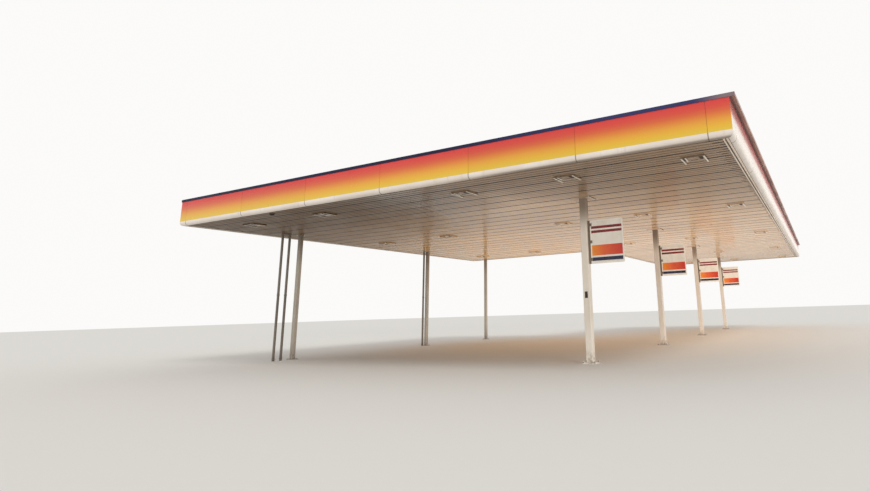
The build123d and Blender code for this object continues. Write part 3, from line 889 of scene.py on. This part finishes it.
def lapScrews():
    rails = bunchMiddles(nodePoints("soffit_rails")[:, 0], screw["railGap"])
    runs = openRuns(screw["beside"], screw["margin"])
    places = [(x, y, level["soffit"]) for y, start, end in runs for x in rails if start < x < end]
    return [stampPart(turnPart(screw["dome"], sidesRound["dome"]), places)]


def groovePlugsAndShade():
    # prism that fills the end of each groove and stands a little below its mouth, of uneven length, dark and
    # long as painted shade in the groove's end
    draw = np.random.default_rng(plugAndShade["seed"])
    half, low, lip = plugAndShade["mouth"] / 2, plugAndShade["low"], plugAndShade["lip"]
    profile = [(-half, low), (half, low), (half, lip), (0, plugAndShade["high"]), (-half, lip)]
    pitch, trim = soffitLook["pitch"], lap["trimWidth"]
    parts = []
    for y in np.arange(sheetStart + pitch / 2, back - plugAndShade["lastBefore"], pitch):
        for edge, heading in ((right - trim, -1), (leftEndAt(y, trim), 1)):
            share = max(1.0 - (y - front) / plugAndShade["shrink"], plugAndShade["least"])
            length = share * draw.uniform(plugAndShade["shortest"], plugAndShade["longest"])
            path = np.array([(edge, y, level["soffit"]), (edge + heading * length, y, level["soffit"])])
            parts.append(carryProfile(profile, path, (0, 1, 0), upZ))
    return parts


def slotShadeStrips():
    # painted shade: a dark strip up in the slot between the two edge trims, and a dark bead under the slot's
    # inner edge that widens it
    parts = []
    for side in sides:
        if side["name"] in slot["sides"]:
            for name, top in (("strip", level["soffit"]), ("seal", level["trimBottom"])):
                depth, width, drop = slot[name]
                distances = np.array([depth, side["length"] - depth])
                ends = sidePoint(side, distances, depth, top - drop / 2)
                parts.append(bar(*ends, width, drop, bevel=slot["bevel"]))
    return parts


def collarRing(post):
    # flat square ring: a rectangle carried round a square with its corners mitred
    hole, thick = postCollar["hole"], postCollar["thick"]
    path = np.array([*middleOf(post)[:2], level["soffit"]]) + squareCorners * hole
    reach = postCollar["half"] - hole
    profile = [(0, 0), (reach, 0), (reach, -thick), (0, -thick)]
    return carryProfile(profile, path, squareCorners, upZ, closed=True)


makePiece("soffit_lap_edges", lapEdges(), sealantAndShade)
makePiece("soffit_screws", lapScrews(), zinc, smooth=True)
makePiece("soffit_groove_plugs_and_shade", groovePlugsAndShade(), sealantAndShade)
makePiece("soffit_slot_shade_strips", slotShadeStrips(), sealantAndShade)
makePiece("post_collars", [collarRing(post) for post in shopPosts], finishes["collarPaint"])
print("soffit details made")


# Column collars: bright folded edge on the right as a painted highlight, dark seal behind it, and screws

collarTrim = {
    "edge": 0.022, "fold": 0.016, "seal": 0.012, "sealDrop": 0.008, "screwInset": 0.035,
    "screwDome": [(0.009, 0.0), (0.009, -0.001), (0.006, -0.004), (0.002, -0.005)],
}


def makeCollarTrims():
    bottom = lowOf("column_collars")[2]
    edge, seal, inset = collarTrim["edge"], collarTrim["seal"], collarHalf - collarTrim["screwInset"]
    edges, seals, places = [], [], []
    for name in pumpColumns:
        x, y = middleOf(name)[:2]
        ends, rim = (y - collarHalf, y + collarHalf), x + collarHalf
        # bright edge on the right side only: painted highlight
        edges.append(hungBar(rim - edge / 2, *ends, bottom, edge, collarTrim["fold"]))
        seals.append(hungBar(rim + seal / 2, *ends, level["soffit"], seal, collarTrim["sealDrop"]))
        places += [(x + sx * inset, y + sy * inset, bottom) for sx in (-1, 0, 1) for sy in (-1, 1)]
    dome = turnPart(collarTrim["screwDome"], sidesRound["dome"])
    makePiece("collar_highlight_edges", edges, finishes["brightTrimPaint"])
    makePiece("collar_seals", seals, sealantAndShade)
    makePiece("collar_screws", [stampPart(dome, places)], zinc, smooth=True)


makeCollarTrims()


# Light fittings: domed lens, bright end bars and tab as painted highlights, a dark bar as painted shade in
# the gap beside the tab, dark latch block on the nearer half, screws

fitting = {
    "inner": 0.245, "dome": 0.006, "grid": 9, "lensRise": 0.009,
    "barWidth": 0.034, "barDrop": 0.012, "barInset": 0.018, "tabInset": 0.112,
    "slotInset": 0.065, "slotWidth": 0.036, "slotDrop": 0.4, "slotEnd": -0.02,
    "latchInset": 0.105, "latchWidth": 0.075, "latchDrop": 0.8, "latchStart": 0.04, "latchEnd": -0.03,
    "dash": (0.16, 0.014, 0.006), "dashMiddle": 0.002, "dashBevel": 0.001,
    "screwInset": (0.045, 0.015), "screwDome": [(0.007, 0.0), (0.007, -0.001), (0.003, -0.0035)],
}


def lensPart():
    # square sheet that hangs by dome * (1 - u^2) * (1 - v^2) in the middle
    across = np.linspace(-1, 1, fitting["grid"])
    u, v = np.meshgrid(across, across, indexing="ij")
    height = fitting["lensRise"] - fitting["dome"] * (1 - u ** 2) * (1 - v ** 2)
    points = np.stack([u * fitting["inner"], v * fitting["inner"], height], -1)
    return points.reshape(-1, 3), [gridFaces(fitting["grid"], fitting["grid"])]


def makeLights():
    half, width, drop = lightHalf, fitting["barWidth"], fitting["barDrop"]
    slotDrop, latchDrop = drop * fitting["slotDrop"], drop * fitting["latchDrop"]
    length, thick, tall = fitting["dash"]
    z = fitting["dashMiddle"]
    # painted highlights: bright bars along both sides and a tab
    bright = [
        hungBar(fitting["barInset"] - half, -half, half, 0.0, width, drop),
        hungBar(half - fitting["barInset"], -half, half, 0.0, width, drop),
        hungBar(fitting["tabInset"] - half, -half, 0.0, 0.0, width, drop),
    ]
    # a dark bar as painted shade in the gap between the side bar and the tab, then the latch block and a dash
    dark = [
        hungBar(fitting["slotInset"] - half, -half, fitting["slotEnd"], 0.0, fitting["slotWidth"], slotDrop),
        hungBar(
            half - fitting["latchInset"], fitting["latchStart"] - half, fitting["latchEnd"], 0.0,
            fitting["latchWidth"], latchDrop,
        ),
        bar((-length / 2, 0, z), (length / 2, 0, z), thick, tall, bevel=fitting["dashBevel"]),
    ]
    insetX, insetY = fitting["screwInset"]
    corners = [(sx * (half - insetX), sy * (half - insetY), 0) for sx in (-1, 1) for sy in (-1, 1)]
    screws = stampPart(turnPart(fitting["screwDome"], sidesRound["dome"]), corners)
    for name, parts, finish, smooth in (
        ("light_lenses", [lensPart()], finishes["lightLens"], True),
        ("light_highlight_bars", bright, finishes["lightBarHighlightPaint"], False),
        ("light_latches_and_gap_shade", dark, sealantAndShade, False), ("light_screws", [screws], zinc, True),
    ):
        makePiece(name, [stampPart(part, lightPlaces) for part in parts], finish, smooth)


makeLights()
print("light fittings made,", len(lightPlaces))


# Small round fitting near the front left corner of the soffit

roundFitting = {
    "place": (-5.07, -15.85), "radius": 0.075, "height": 0.05, "flange": 1.25, "flangeThick": 0.004,
    "skirtTop": 0.005, "face": 0.97, "skirtShare": 0.4, "steps": 7,
}


def makeRoundFitting():
    # turned shell: flange, short skirt and a rounded face, whose rings are (radius * cos, skirt + rest * sin)
    radius, height, skirt = roundFitting["radius"], roundFitting["height"], roundFitting["skirtShare"]
    brim = radius * roundFitting["flange"]
    turn = np.linspace(0, np.pi / 2, roundFitting["steps"])[:-1]
    rings = [(brim, 0.0), (brim, -roundFitting["flangeThick"]), (radius, -roundFitting["skirtTop"])]
    rings += [
        (radius * roundFitting["face"] * np.cos(angle), -height * (skirt + (1 - skirt) * np.sin(angle)))
        for angle in turn
    ]
    shell = stampPart(turnPart(rings, sidesRound["shell"]), [(*roundFitting["place"], level["soffit"])])
    makePiece("round_soffit_fitting", [shell], sealantAndShade, smooth=True)


makeRoundFitting()


# Column and post feet: weld bead, studs, washers and nuts

foot = {
    "nutRadius": 0.021, "nutHeight": 0.02, "studRadius": 0.012, "studRise": 0.022,
    "washerRadius": 0.026, "washerHeight": 0.004, "weld": 0.012, "weldWaist": 0.45, "chamfer": 0.8,
    "nutEdges": (0.002, 0.003), "studEdge": 0.002, "cornerSteps": 4,
}
columnFoot = {"size": 0.21, "corner": 0.018, "spacing": 0.34, "plateTop": 0.03, "scale": 1.0}
postFoot = {"size": 0.15, "corner": 0.009, "spacing": 0.22, "plateTop": 0.02, "scale": 0.85}


def anchorParts(scale):
    # chamfered nut, washer and stud of one anchor, all turned about its own axis
    nut, washer, stud = (foot[name] * scale for name in ("nutRadius", "washerRadius", "studRadius"))
    chamfer, base = foot["chamfer"], foot["washerHeight"]
    nutTop = base + foot["nutHeight"] * scale
    top = base + (foot["nutHeight"] + foot["studRise"]) * scale
    lowEdge, highEdge = foot["nutEdges"]
    rings = {
        "nut": [
            (chamfer * nut, base), (nut, base + lowEdge), (nut, nutTop - highEdge), (chamfer * nut, nutTop),
        ],
        "washer": [(washer, 0.0), (washer, base)],
        "stud": [(stud, 0.0), (stud, top - foot["studEdge"]), (chamfer * stud, top)],
    }
    return [turnPart(rings[name], sidesRound[name]) for name in rings]


def makeFeet(name, columns, sizes, paint):
    spacing, size, plateTop = sizes["spacing"] / 2, sizes["size"] / 2, sizes["plateTop"]
    weld, waist = foot["weld"], foot["weld"] * foot["weldWaist"]
    bead = [(0, 0), (weld, 0), (waist, waist), (0, weld)]
    places, beads = [], []
    for column in columns:
        x, y = middleOf(column)[:2]
        places += [(x + sx * spacing, y + sy * spacing, plateTop) for sx in (-1, 1) for sy in (-1, 1)]
        path, outward = roundedOutline(
            (x, y, plateTop), (size, size), sizes["corner"], foot["cornerSteps"], [0, 1],
        )
        beads.append(carryProfile(bead, path, outward, upZ, closed=True))
    anchors = [stampPart(part, places) for part in anchorParts(sizes["scale"])]
    makePiece(name + "_anchors", anchors, zinc)
    makePiece(name + "_welds", beads, paint, smooth=True)


makeFeet("pump_column", pumpColumns, columnFoot, finishes["columnPaint"])
makeFeet("shop_post", shopPosts, postFoot, finishes["postPaint"])
print("column feet made")


# Bare dark plate on the first column

labelPlate = {
    "width": 0.09, "low": 1.86, "high": 2.05, "thick": 0.004, "rivetInset": 0.01,
    "rivet": [(0.004, 0.0), (0.004, -0.001), (0.001, -0.002)],
}


def makeLabelPlate():
    x, y = middleOf(pumpColumns[0])[:2]
    low, high, inset, thick = (labelPlate[name] for name in ("low", "high", "rivetInset", "thick"))
    face = y - columnFoot["size"] / 2 - thick / 2
    plate = bar((x, face, low), (x, face, high), labelPlate["width"], thick, (0, -1, 0))
    reach = labelPlate["width"] / 2 - inset
    corners = [(x + sx * reach, face - thick / 2, z) for sx in (-1, 1) for z in (low + inset, high - inset)]
    rivets = stampPart(turnPart(labelPlate["rivet"], sidesRound["dome"], axis=1), corners)
    makePiece("column_plate", [plate, rivets], sealantAndShade)


makeLabelPlate()


# Flag panels: edge rail all round, clamps on the strip and their bolts

flagRail = {
    "lip": 0.022, "wrap": 0.003, "corner": 0.025, "steps": 5, "stripWidth": 0.07,
    "clampShares": (0.1, 0.5, 0.9), "clampHeight": 0.09, "clampThick": 0.006, "clampReach": 0.06,
    "clampInset": 0.01, "clampOff": 0.012, "boltSpread": 0.025, "boltOnStrip": 0.035, "boltOnPanel": 0.04,
    "boltHead": [(0.006, -0.006), (0.009, -0.003), (0.009, 0.003), (0.006, 0.006)],
}


def flagEdge(node):
    # channel section carried round the panel's rounded outline: point = outline + outward * x + across * y
    size = highOf(node) - lowOf(node)
    wrap, lip, half = flagRail["wrap"], flagRail["lip"], size[1] / 2
    path, outward = roundedOutline(
        middleOf(node), size[[0, 2]] / 2, flagRail["corner"], flagRail["steps"], [0, 2],
    )
    section = [
        (-lip, half), (-lip, half + wrap), (wrap, half + wrap), (wrap, -half - wrap),
        (-lip, -half - wrap), (-lip, -half), (0, -half), (0, half),
    ]
    return carryProfile(section, path, outward, (0, 1, 0), closed=True)


def flagClamps(node):
    # three clamps on each face of the panel, each with two bolts on the strip and two on the panel
    low, high = lowOf(node), highOf(node)
    stripLow = low[0] - flagRail["stripWidth"]
    startX, endX = stripLow + flagRail["clampInset"], low[0] + flagRail["clampReach"]
    thick, spread, off = flagRail["clampThick"], flagRail["boltSpread"], flagRail["clampOff"]
    parts, bolts = [], []
    for share in flagRail["clampShares"]:
        z = low[2] + share * (high[2] - low[2])
        for y, face in ((low[1] - off, -1), (high[1] + off, 1)):
            parts.append(bar((startX, y, z), (endX, y, z), thick, flagRail["clampHeight"]))
            for x in (stripLow + flagRail["boltOnStrip"], low[0] + flagRail["boltOnPanel"]):
                bolts += [(x, y + face * thick / 2, z + dz) for dz in (-spread, spread)]
    return parts, bolts


def makeFlags():
    clamps, bolts = [], []
    for node in flagPanels:
        parts, places = flagClamps(node)
        clamps += parts
        bolts += places
    heads = stampPart(turnPart(flagRail["boltHead"], sidesRound["nut"], axis=1), bolts)
    edges = [flagEdge(node) for node in flagPanels]
    makePiece("flag_edge_rails", edges, finishes["brightTrimPaint"])
    # the clamps take the strips' paint, dark as painted shade
    makePiece("flag_clamps", clamps, finishes["flagStripShadePaint"])
    makePiece("flag_bolts", [heads], zinc)


makeFlags()
print("flag panels dressed")


# Downpipes: couplings on every fall, and a leaf guard on the roof above each

pipe = {
    "width": 0.075, "depth": 0.06, "sleeve": 0.004, "sleeveHeight": 0.07, "bevel": 0.0015,
    "levels": (0.09, 2.45, 4.74), "footHeight": 0.01, "fallGap": 0.1,
}
outlet = {
    "radius": 0.1, "height": 0.11, "ribs": 14, "ribWidth": 0.007, "ribThick": 0.005, "steps": 7,
    "ribTurn": 0.46 * np.pi, "flange": [(0.13, 0.0), (0.13, 0.004), (0.09, 0.006), (0.09, 0.0)],
    "cap": [(0.022, 0.102), (0.022, 0.11), (0.012, 0.114)],
}


def pipeSleeves(falls):
    # square band carried upwards round each pipe
    half = np.array([pipe["width"], pipe["depth"], 0]) / 2
    profile = rectangle(2 * pipe["sleeve"], pipe["sleeveHeight"], pipe["bevel"])
    return [
        carryProfile(profile, np.array([x, y, z]) + squareCorners * half, squareCorners, upZ, closed=True)
        for x, y in falls for z in pipe["levels"]
    ]


def leafGuard():
    # flange, cap and ribs bent over a dome: point = (radius * cos t, height * sin t) turned round the axis
    turn = np.linspace(0, outlet["ribTurn"], outlet["steps"])
    cos, sin = np.cos(turn)[:, None], np.sin(turn)[:, None]
    rib = rectangle(outlet["ribWidth"], outlet["ribThick"])
    parts = [turnPart(outlet["flange"], sidesRound["flange"])]
    for angle in np.linspace(0, 2 * np.pi, outlet["ribs"], endpoint=False):
        outward = np.array([np.cos(angle), np.sin(angle), 0])
        path = outlet["radius"] * cos * outward + outlet["height"] * sin * upZ
        parts.append(carryProfile(rib, path, np.cross(upZ, outward), cos * outward + sin * upZ))
    return parts + [turnPart(outlet["cap"], sidesRound["cap"])]


def makeDrains():
    # the falls are the middles of the upright pipes, from the mesh's corners at their feet
    points = nodePoints("downpipes")
    feet = points[points[:, 2] < pipe["footHeight"]]
    falls = [(feet[:, 0].mean(), y) for y in bunchMiddles(feet[:, 1], pipe["fallGap"])]
    makePiece("downpipe_sleeves", pipeSleeves(falls), finishes["downpipePaint"])
    cover, deckFront = soffitLook["cover"], lowOf("roof_deck_arm")[1]
    trays = [deckFront + cover * round((y - deckFront) / cover) for x, y in (falls[0], falls[-1])]
    places = [(falls[0][0], y, level["deckPan"]) for y in trays]
    makePiece("roof_outlets", [stampPart(part, places) for part in leafGuard()], sealantAndShade)


makeDrains()
print("drains made")


# Roof flashing: thin sheet up the back of the fascia posts, with a foot over the seams and a turned-down lip

flashing = {
    "near": 0.132, "sheet": 0.0015, "foot": 0.22, "footGap": 0.002, "lip": 0.026,
    "top": 0.0005, "sunk": 0.004,
}


def makeFlashing():
    near, sheet, end = flashing["near"], flashing["sheet"], flashing["foot"]
    low, top = level["deckPan"] - flashing["sunk"], level["panelTop"] - flashing["top"]
    ledge = level["deckTop"] + flashing["footGap"]
    lip = ledge - flashing["lip"]
    profile = [
        (near, low), (near + sheet, low), (near + sheet, ledge), (end - sheet, ledge), (end - sheet, lip),
        (end, lip), (end, ledge + sheet), (near + sheet, ledge + sheet), (near + sheet, top), (near, top),
    ]
    ring = carryProfile(profile, roofCorners, cornerInward, upZ, closed=True)
    makePiece("roof_flashing", [ring], finishes["flashingZinc"])


makeFlashing()
print("roof flashing made")


# Floor, world, lights and camera

studio = {
    "floorShade": colour(226, 225, 222), "floorHalf": 400.0, "floorRoughness": 0.9,
    "sky": 0.72, "worldShade": (0.97, 0.96, 0.945, 1), "sunShade": (1.0, 0.965, 0.91),
    "suns": [  # strength, spread in degrees, direction that the light comes from
        (1.0, 22.0, (0.62, -0.42, 0.66)), (1.0, 9.0, (0.75, -0.62, 0.09)),
    ],
    "bounce": {"power": 690.0, "size": (16.0, 20.0), "place": (1.0, 3.0, 0.02), "shade": (1.0, 0.97, 0.93)},
}
cameraView = {
    "place": (10.636, -27.324, 1.479), "turn": (103.075, 1.755, 26.820), "focalPixels": 539.6,
    "centre": (546.3, 187.2), "image": (870, 491), "filmWidth": 36.0, "farthest": 1000.0,
}


def makeFloor():
    mesh = bpy.data.meshes.new("floor")
    mesh.from_pydata((squareCorners * studio["floorHalf"]).tolist(), [], [(0, 1, 2, 3)])
    finish, shader, place, numbers = newFinish("paleFloor", roughness=studio["floorRoughness"], specular=0.0)
    shader.inputs["Base Color"].default_value = studio["floorShade"]
    mesh.materials.append(finish)
    addObject("floor", mesh)


def makeWorld():
    # full strength for what is seen or mirrored, and the softer sky strength for what lights the canopy
    world = bpy.data.worlds.new("paleWorld")
    bpy.context.scene.world = world
    world.use_nodes = True
    tree = world.node_tree
    rays = addNode("ShaderNodeLightPath", {}, tree).outputs
    seen = mathOf("MAXIMUM", rays["Is Camera Ray"], rays["Is Glossy Ray"])
    seen = mathOf("MAXIMUM", seen, rays["Is Transmission Ray"])
    background = tree.nodes["Background"]
    background.inputs["Color"].default_value = studio["worldShade"]
    strength = mathOf("MULTIPLY_ADD", seen, 1.0 - studio["sky"], studio["sky"])
    tree.links.new(strength, background.inputs["Strength"])


def makeSuns():
    for number, (strength, spread, (x, y, z)) in enumerate(studio["suns"], start=1):
        sun = bpy.data.lights.new(f"softSun{number}", "SUN")
        sun.energy, sun.angle, sun.color = strength, math.radians(spread), studio["sunShade"]
        lamp = addObject(sun.name, sun)
        lamp.rotation_euler = math.atan2(math.hypot(x, y), z), 0.0, math.atan2(x, -y)


def makeBounce():
    # wide soft panel flat on the floor, facing up, for the light that a sunlit floor throws under a roof
    bounce = studio["bounce"]
    panel = bpy.data.lights.new("floorBounce", "AREA")
    panel.shape = "RECTANGLE"
    panel.size, panel.size_y = bounce["size"]
    panel.energy, panel.color = bounce["power"], bounce["shade"]
    lamp = addObject("floorBounce", panel)
    lamp.location, lamp.rotation_euler = bounce["place"], (math.pi, 0.0, 0.0)
    lamp.visible_glossy = False


def makeCamera():
    data = bpy.data.cameras.new("photoCamera")
    width, height = cameraView["image"]
    data.sensor_fit = "HORIZONTAL"
    data.sensor_width = cameraView["filmWidth"]
    data.lens = data.sensor_width * cameraView["focalPixels"] / width
    data.shift_x = (width / 2 - cameraView["centre"][0]) / width
    data.shift_y = (cameraView["centre"][1] - height / 2) / width
    data.clip_end = cameraView["farthest"]
    camera = addObject("photoCamera", data)
    camera.location = cameraView["place"]
    camera.rotation_euler = [math.radians(angle) for angle in cameraView["turn"]]
    bpy.context.scene.camera = camera


makeFloor()
makeWorld()
makeSuns()
makeBounce()
makeCamera()
bpy.context.scene.view_settings.view_transform = "Standard"
print("stage, lights and camera set")
